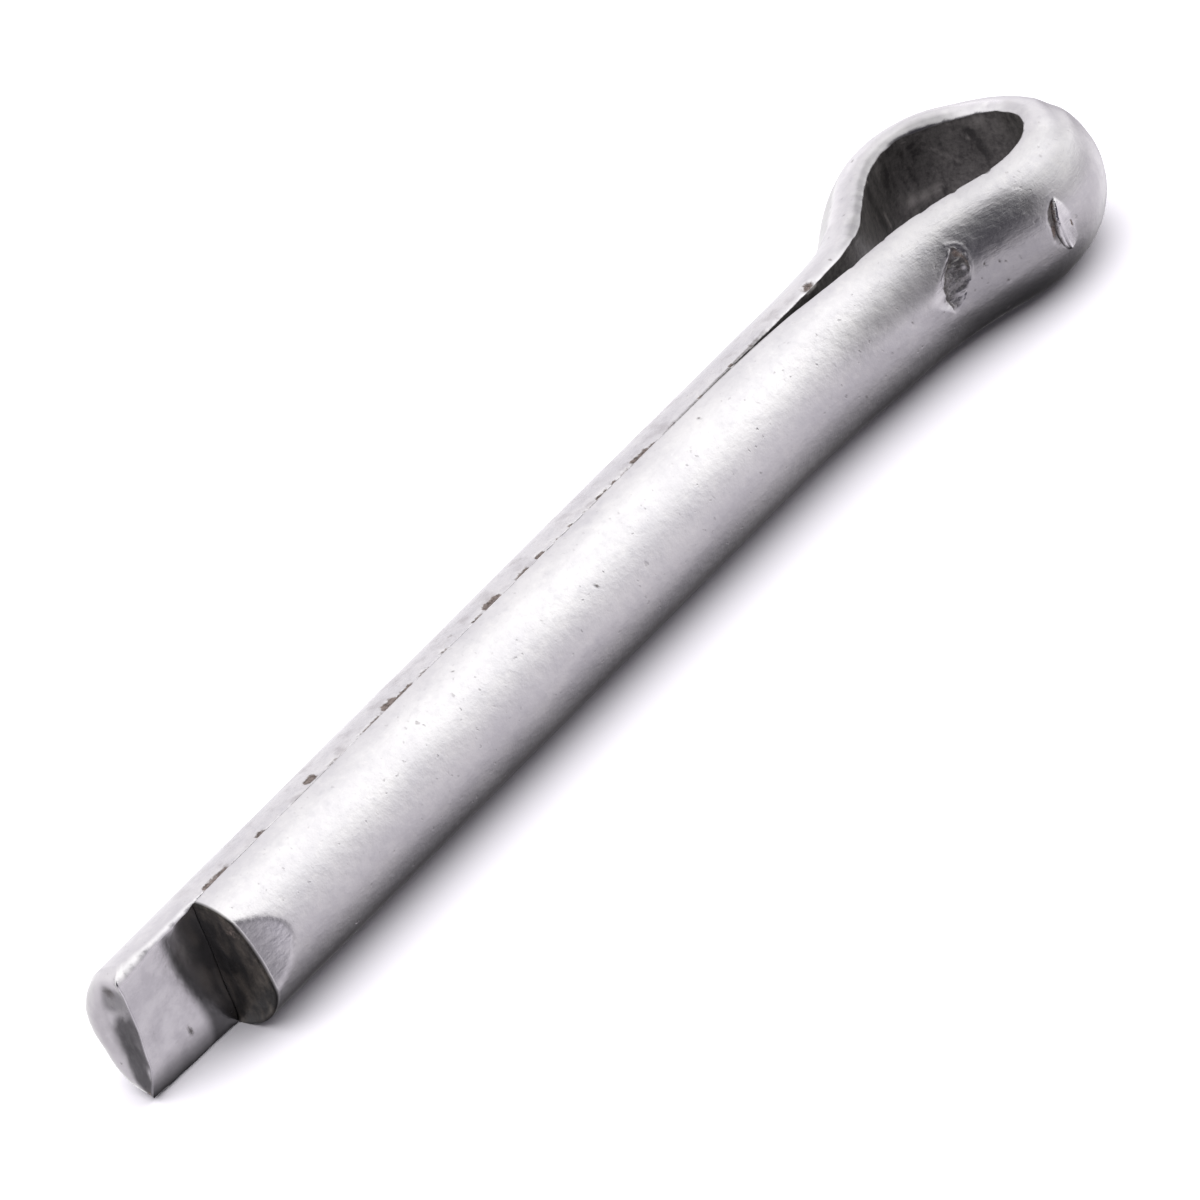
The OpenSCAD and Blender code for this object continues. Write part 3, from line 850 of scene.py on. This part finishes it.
out = node("ShaderNodeOutputMaterial")
steel = node("ShaderNodeBsdfPrincipled")
nt.links.new(steel.outputs["BSDF"], out.inputs["Surface"])


def link(a, b):
    nt.links.new(a, b)


def put(socket, v):
    if isinstance(v, bpy.types.NodeSocket):
        link(v, socket)
    else:
        socket.default_value = v


def math_(op, a, b=None, c=None, clamp=False):
    n = nt.nodes.new("ShaderNodeMath")
    n.operation, n.use_clamp = op, clamp
    for i, v in enumerate((a, b, c)):
        if v is not None:
            put(n.inputs[i], v)
    return n.outputs[0]


def attr(name):
    n = nt.nodes.new("ShaderNodeAttribute")
    n.attribute_name = name
    return n


def noise_(vec, scale, detail=2.0, rough=0.5, distortion=0.0):
    n = nt.nodes.new("ShaderNodeTexNoise")
    link(vec, n.inputs["Vector"])
    n.inputs["Scale"].default_value = scale
    n.inputs["Detail"].default_value = detail
    n.inputs["Roughness"].default_value = rough
    n.inputs["Distortion"].default_value = distortion
    return n.outputs["Fac"]


def voronoi_(vec, scale, rand=1.0):
    n = nt.nodes.new("ShaderNodeTexVoronoi")
    link(vec, n.inputs["Vector"])
    n.inputs["Scale"].default_value = scale
    n.inputs["Randomness"].default_value = rand
    return n.outputs["Distance"], n.outputs["Color"]


def range_(v, a, b, c=0.0, d=1.0, smooth_=True):
    n = nt.nodes.new("ShaderNodeMapRange")
    n.interpolation_type = "SMOOTHSTEP" if smooth_ else "LINEAR"
    put(n.inputs["Value"], v)
    for k, val in zip(("From Min", "From Max", "To Min", "To Max"), (a, b, c, d)):
        put(n.inputs[k], val)
    return n.outputs[0]


def scaled(vec, v):
    n = nt.nodes.new("ShaderNodeVectorMath")
    n.operation = "MULTIPLY"
    link(vec, n.inputs[0])
    n.inputs[1].default_value = v
    return n.outputs[0]


def mix_(fac, a, b):
    n = nt.nodes.new("ShaderNodeMix")
    n.data_type = "RGBA"
    put(n.inputs[0], fac)
    put(n.inputs[6], a)
    put(n.inputs[7], b)
    return n.outputs[2]


coords = nt.nodes.new("ShaderNodeTexCoord")
body_mm = scaled(coords.outputs["Object"], (1000.0, 1000.0, 1000.0))
wire_v = attr("wire").outputs["Vector"]
wire_mm = scaled(wire_v, (1.0, 1.0, 0.0))
a_dirt = attr("dirt").outputs["Fac"]
a_scuff = attr("scuff").outputs["Fac"]
a_burnish_and_glint = attr("burnish_and_painted_glint").outputs["Fac"]
a_in_painted_shade = attr("inside").outputs["Fac"]
a_cut = attr("sheared").outputs["Fac"]
a_torn = attr("torn").outputs["Fac"]
a_cres = attr("crescent").outputs["Fac"]
a_wall = attr("wall").outputs["Fac"]
a_tone_and_painted_light = attr("tone_and_painted_light").outputs["Fac"]
a_flat = attr("long_flat").outputs["Fac"]
a_coarse = attr("coarse").outputs["Fac"]

# Fine grain of the drawn wire, longer along it than across.
grain = noise_(scaled(wire_mm, (2.6, 11.0, 1.0)), 1.0, 4.0, 0.6)
speckle = noise_(body_mm, 9.0, 3.0, 0.6)
cloud = noise_(scaled(wire_mm, (0.35, 0.8, 1.0)), 1.0, 3.0, 0.55, 0.4)
streaks = noise_(scaled(wire_mm, (2.2, 9.0, 1.0)), 1.0, 3.0, 0.55, 0.9)

# Scattered pits: few cells of the pattern hold one, and their outlines wander.
def shifted(vec, amount, scale):
    n = nt.nodes.new("ShaderNodeTexNoise")
    link(vec, n.inputs["Vector"])
    n.inputs["Scale"].default_value = scale
    n.inputs["Detail"].default_value = 2.0
    m = nt.nodes.new("ShaderNodeVectorMath")
    m.operation = "MULTIPLY_ADD"
    link(n.outputs["Color"], m.inputs[0])
    m.inputs[1].default_value = (amount, amount, amount)
    link(vec, m.inputs[2])
    return m.outputs[0]


loose = shifted(body_mm, 0.22, 6.0)
pit_d, pit_c = voronoi_(loose, 1.15)
sep_c = nt.nodes.new("ShaderNodeSeparateColor")
link(pit_c, sep_c.inputs[0])
has = range_(sep_c.outputs[0], 0.60, 0.62)
size_ = range_(sep_c.outputs[1], 0.0, 1.0, 0.04, 0.12, False)
pits = math_("MULTIPLY", has, range_(math_("DIVIDE", pit_d, size_), 1.2, 0.35))
pits = math_("MULTIPLY", pits, range_(sep_c.outputs[2], 0.0, 1.0, 0.25, 1.0))
fine_d, fine_c = voronoi_(loose, 4.2)
sep_f = nt.nodes.new("ShaderNodeSeparateColor")
link(fine_c, sep_f.inputs[0])
fine = math_("MULTIPLY", range_(sep_f.outputs[0], 0.80, 0.82), range_(fine_d, 0.26, 0.06))
pits = math_("MAXIMUM", pits, math_("MULTIPLY", fine, 0.34))
pits = math_("MULTIPLY", pits, math_("MULTIPLY_ADD", a_flat, -0.8, 1.0))

# Dirt: the mask, broken up by noise.
dirt_noise = noise_(body_mm, 7.0, 4.0, 0.65)
dirt_m = range_(math_("ADD", a_dirt, math_("MULTIPLY_ADD", dirt_noise, 1.6, -0.8)), 0.22, 0.85)
scuff_m = range_(math_("ADD", a_scuff, math_("MULTIPLY_ADD", dirt_noise, 0.8, -0.4)), 0.05, 1.0)

# Colours, in order: steel with slight clouds, marks, dark places, dirt.
mottle = noise_(body_mm, 3.4, 4.0, 0.6)
steel_a = (0.405, 0.398, 0.408, 1.0)
steel_b = (0.462, 0.455, 0.458, 1.0)
col = mix_(range_(cloud, 0.3, 0.7), steel_a, steel_b)
col = mix_(math_("MULTIPLY", range_(mottle, 0.50, 0.72), 0.30), col, (0.33, 0.325, 0.345, 1))
col = mix_(math_("MULTIPLY", range_(mottle, 0.48, 0.30), 0.30), col, (0.52, 0.51, 0.50, 1))
col = mix_(math_("MULTIPLY", range_(speckle, 0.58, 0.78), 0.22), col, (0.27, 0.26, 0.265, 1))
patchy = noise_(body_mm, 1.3, 4.0, 0.6)
col = mix_(math_("MULTIPLY", a_flat, 0.9), col, mix_(range_(patchy, 0.35, 0.65), (0.50, 0.49, 0.505, 1), (0.60, 0.59, 0.60, 1)))
col = mix_(math_("MULTIPLY", a_coarse, range_(patchy, 0.48, 0.72, 0.0, 0.75)), col, (0.30, 0.285, 0.29, 1))
shade = nt.nodes.new("ShaderNodeCombineColor")
for i in range(3):
    link(a_tone_and_painted_light, shade.inputs[i])
toned_with_painted_light = nt.nodes.new("ShaderNodeMix")
toned_with_painted_light.data_type, toned_with_painted_light.blend_type = "RGBA", "MULTIPLY"
toned_with_painted_light.inputs[0].default_value = 1.0
link(col, toned_with_painted_light.inputs[6])
link(shade.outputs[0], toned_with_painted_light.inputs[7])
col = toned_with_painted_light.outputs[2]
col = mix_(math_("MULTIPLY", scuff_m, 0.85), col, (0.085, 0.078, 0.074, 1))
# The inside of the eye is painted near-black: painted shade in the hollow, lightened in the patches of wall.
inner_n = noise_(scaled(wire_mm, (3.2, 0.9, 1.0)), 1.0, 4.0, 0.6, 0.5)
inner_v = math_("ADD", a_wall, math_("MULTIPLY_ADD", inner_n, 0.44, -0.22))
inner_v = math_("ADD", inner_v, math_("MULTIPLY_ADD", dirt_noise, 0.50, -0.25))
col = mix_(a_in_painted_shade, col, mix_(range_(inner_v, 0.0, 1.0, 0.0, 1.0, False), (0.040, 0.037, 0.036, 1), (0.46, 0.435, 0.41, 1)))
# The short prong's sheared end is near-black: dark rough steel, with painted shade from the tone.
cut_n = noise_(scaled(body_mm, (1.0, 1.5, 1.0)), 1.1, 4.0, 0.55)
cut = nt.nodes.new("ShaderNodeMix")
cut.data_type, cut.blend_type = "RGBA", "MULTIPLY"
cut.inputs[0].default_value = 1.0
link(mix_(range_(cut_n, 0.38, 0.75), (0.019, 0.0185, 0.0178, 1), (0.066, 0.059, 0.050, 1)), cut.inputs[6])
link(shade.outputs[0], cut.inputs[7])
col = mix_(a_cut, col, cut.outputs[2])
col = mix_(math_("MULTIPLY", a_torn, 0.92), col, mix_(range_(cut_n, 0.4, 0.7), (0.060, 0.058, 0.061, 1), (0.125, 0.121, 0.125, 1)))
col = mix_(math_("MULTIPLY", a_cres, 0.85), col, (0.44, 0.430, 0.436, 1))
col = mix_(math_("MULTIPLY", a_burnish_and_glint, 0.7), col, (0.60, 0.59, 0.60, 1))
col = mix_(math_("MULTIPLY", pits, 0.50), col, (0.11, 0.095, 0.09, 1))
brown = mix_(range_(speckle, 0.35, 0.65), (0.066, 0.049, 0.042, 1), (0.165, 0.132, 0.118, 1))
col = mix_(dirt_m, col, brown)
link(col, steel.inputs["Base Color"])

metal = math_("SUBTRACT", 1.0, math_("MAXIMUM", math_("MULTIPLY", dirt_m, 0.9), math_("MULTIPLY", a_in_painted_shade, 0.45)))
link(metal, steel.inputs["Metallic"])
rough = math_("MULTIPLY_ADD", cloud, 0.10, 0.24)
rough = math_("MULTIPLY_ADD", grain, 0.06, rough)
for m_, k_ in ((scuff_m, 0.15), (dirt_m, 0.4), (pits, 0.3), (a_cut, 0.25), (a_torn, 0.25), (a_burnish_and_glint, -0.1), (a_flat, -0.10), (a_in_painted_shade, 0.12)):
    rough = math_("MULTIPLY_ADD", m_, k_, rough)
link(rough, steel.inputs["Roughness"])

# Relief of the finish, in micrometres over the shape itself.
band = attr("band").outputs["Fac"]
height = math_("MULTIPLY_ADD", math_("SUBTRACT", grain, 0.5), 4.0, math_("MULTIPLY", math_("SUBTRACT", speckle, 0.5), 3.4))
height = math_("MULTIPLY_ADD", math_("SUBTRACT", mottle, 0.5), 13.0, height)
height = math_("MULTIPLY", height, math_("MULTIPLY_ADD", a_coarse, 3.2, math_("MULTIPLY_ADD", a_flat, -0.65, 1.0)))
height = math_("MULTIPLY_ADD", math_("MULTIPLY", math_("SUBTRACT", streaks, 0.5), band), 8.0, height)
height = math_("MULTIPLY_ADD", pits, -14.0, height)
height = math_("MULTIPLY_ADD", dirt_m, math_("MULTIPLY_ADD", speckle, 26.0, -22.0), height)
height = math_("MULTIPLY_ADD", math_("MAXIMUM", a_cut, a_torn), math_("MULTIPLY", cut_n, 35.0), height)
height = math_("MULTIPLY_ADD", scuff_m, math_("MULTIPLY", dirt_noise, 16.0), height)
relief = nt.nodes.new("ShaderNodeBump")
relief.inputs["Strength"].default_value = 1.0
relief.inputs["Distance"].default_value = 1e-6
link(height, relief.inputs["Height"])
link(relief.outputs["Normal"], steel.inputs["Normal"])
mesh.materials.append(mat)

# ---------------------------------------------------------------- floor
bpy.ops.mesh.primitive_plane_add(size=1.6, location=(-0.008, 0, cad_low.z))
floor = bpy.context.object
floor.name = "floor"
fmat = bpy.data.materials.new("floor")
fmat.use_nodes = True
fb = fmat.node_tree.nodes["Principled BSDF"]
fb.inputs["Base Color"].default_value = (0.25, 0.243, 0.258, 1)
fb.inputs["Roughness"].default_value = 1.0
fb.inputs["Specular IOR Level"].default_value = 0.0
floor.data.materials.append(fmat)
floor.visible_glossy = False  # the steel sees the tent's own lower half instead

# A broad soft overhead lamp for the floor alone, which makes its contact shadow.
lamp_data = bpy.data.lights.new("floor_lamp", "SUN")
lamp_data.energy = 15.4
lamp_data.angle = math.radians(116)
lamp = bpy.data.objects.new("floor_lamp", lamp_data)
bpy.context.scene.collection.objects.link(lamp)
aim = Vector((-0.22, -math.sin(math.radians(10)), -math.cos(math.radians(10))))
lamp.rotation_euler = aim.to_track_quat("-Z", "Y").to_euler()
lit = bpy.data.collections.new("lit_by_floor_lamp")
lit.objects.link(floor)
lamp.light_linking.receiver_collection = lit

# ---------------------------------------------------------------- light tent
world = bpy.data.worlds.new("tent")
bpy.context.scene.world = world
world.use_nodes = True
wt = world.node_tree
wt.nodes.clear()


def wnode(kind, **values):
    n = wt.nodes.new(kind)
    for k, v in values.items():
        setattr(n, k, v)
    return n


def wmath(op, a, b=None, c=None, clamp=False):
    n = wnode("ShaderNodeMath", operation=op, use_clamp=clamp)
    for i, v in enumerate((a, b, c)):
        if v is None:
            continue
        if isinstance(v, (int, float)):
            n.inputs[i].default_value = v
        else:
            wt.links.new(v, n.inputs[i])
    return n.outputs[0]


wout = wnode("ShaderNodeOutputWorld")
wbg = wnode("ShaderNodeBackground")
wt.links.new(wbg.outputs[0], wout.inputs["Surface"])
wc = wnode("ShaderNodeTexCoord")
sep = wnode("ShaderNodeSeparateXYZ")
wt.links.new(wc.outputs["Generated"], sep.inputs[0])
dx, dy, dz = sep.outputs
# Round the shank's axis: 0 straight up, 90 at the near horizon, 180 straight down.
around = wmath("MULTIPLY", wmath("ARCTAN2", wmath("MULTIPLY", dy, -1.0), dz), 180 / math.pi)
around = wmath("ADD", around, wmath("MULTIPLY", wmath("LESS_THAN", around, -100.0), 360.0))
WARM, COOL = (1.0, 0.993, 1.0), (1.0, 0.957, 1.03)


def world_ramp(stops):
    """Brightness at degrees round the shank, cooler where it is dimmer."""
    n = wnode("ShaderNodeValToRGB")
    n.color_ramp.interpolation = "LINEAR"
    wt.links.new(wmath("MULTIPLY_ADD", around, 1 / 360, 100 / 360), n.inputs[0])
    els = n.color_ramp.elements
    while len(els) < len(stops):
        els.new(0.5)
    for e, (deg, val) in zip(els, stops):
        cool = min(max((2.1 - val) / 0.9, 0.0), 1.0)
        e.position = (deg + 100) / 360
        e.color = [val / PEAK * (w + (c - w) * cool) for w, c in zip(WARM, COOL)] + [1]
    return n.outputs["Color"]


def wmix(fac, a, b, blend="MIX"):
    n = wnode("ShaderNodeMix", data_type="RGBA", blend_type=blend)
    for i, v in ((0, fac), (6, a), (7, b)):
        if isinstance(v, (int, float, tuple)):
            n.inputs[i].default_value = v
        else:
            wt.links.new(v, n.inputs[i])
    return n.outputs[2]


def wrange(v, a, b, c, d):
    n = wnode("ShaderNodeMapRange", interpolation_type="SMOOTHSTEP")
    wt.links.new(v, n.inputs["Value"])
    for k, val in zip(("From Min", "From Max", "To Min", "To Max"), (a, b, c, d)):
        n.inputs[k].default_value = val
    return n.outputs[0]


PEAK = 3.0
# Beside the shank, with the shade under it, and towards the eye's end.
SIDE = [
    (-100, 1.65), (-62, 1.64), (-42, 1.74), (-20, 2.05), (4, 2.48), (22, 2.68), (36, 2.68), (49, 2.30),
    (63, 1.81), (78, 1.48), (92, 1.37), (112, 1.23), (126, 1.02), (140, 0.74), (156, 0.435), (172, 0.24),
    (188, 0.10), (205, 0.05), (222, 0.12), (233, 0.8), (242, 1.6), (260, 1.65),
]
AHEAD = [
    (-100, 1.4), (-88, 1.65), (-76, 1.75), (-60, 1.75), (-40, 1.65), (-15, 2.15), (0, 2.5), (24, 2.65), (60, 2.5),
    (78, 2.0), (100, 1.62), (120, 1.27), (150, 1.17), (185, 1.5), (200, 1.75), (212, 1.5), (225, 0.9), (240, 0.65),
    (252, 0.95), (260, 1.4),
]
BEHIND = [
    (-100, 1.35), (-84, 1.65), (-60, 1.9), (0, 2.1), (60, 1.4), (120, 1.3), (165, 1.2), (185, 1.0), (202, 0.85),
    (218, 0.95), (236, 1.2), (260, 1.35),
]
side = wmix(wmath("MULTIPLY", wrange(dx, 0.34, 0.50, 0.62, 0.0), wrange(around, 128.0, 158.0, 0.0, 1.0)),
            world_ramp(SIDE), (0.0, 0.0, 0.0, 1.0))
# Below and beyond the shank's end it is bright again.
beyond = wmath("MULTIPLY", wrange(around, 206.0, 224.0, 0.0, 1.0), wrange(dx, 0.505, 0.44, 0.0, 1.0))
under = wmix(wrange(dx, 0.30, 0.0, 0.0, 1.0), *(tuple(c * v / PEAK for c in WARM) + (1.0,) for v in (1.7, 1.45)))
side = wmix(beyond, side, under)
sky = wmix(wrange(dx, 0.50, 0.80, 0.0, 1.0), side, world_ramp(AHEAD))
sky = wmix(wrange(dx, -0.12, -0.40, 0.0, 1.0), sky, world_ramp(BEHIND))
# The dark patch where the camera and its stand are.
patch = wmath("MULTIPLY", wrange(around, 0.0, 36.0, 0.0, 1.0), wrange(around, 80.0, 104.0, 1.0, 0.30))
patch = wmath("MULTIPLY", patch, wrange(dx, 0.14, 0.43, 1.0, 0.0))
patch = wmath("MULTIPLY", patch, wrange(around, 110.0, 160.0, 1.0, 0.0))
wt.links.new(wmix(wmath("MULTIPLY", patch, 0.98), sky, (0.010, 0.008, 0.018, 1.0)), wbg.inputs["Color"])
wbg.inputs["Strength"].default_value = PEAK

scene = bpy.context.scene
scene.view_settings.view_transform = "Standard"
scene.view_settings.look = "None"
scene.view_settings.exposure = 0.0
scene.view_settings.gamma = 1.0
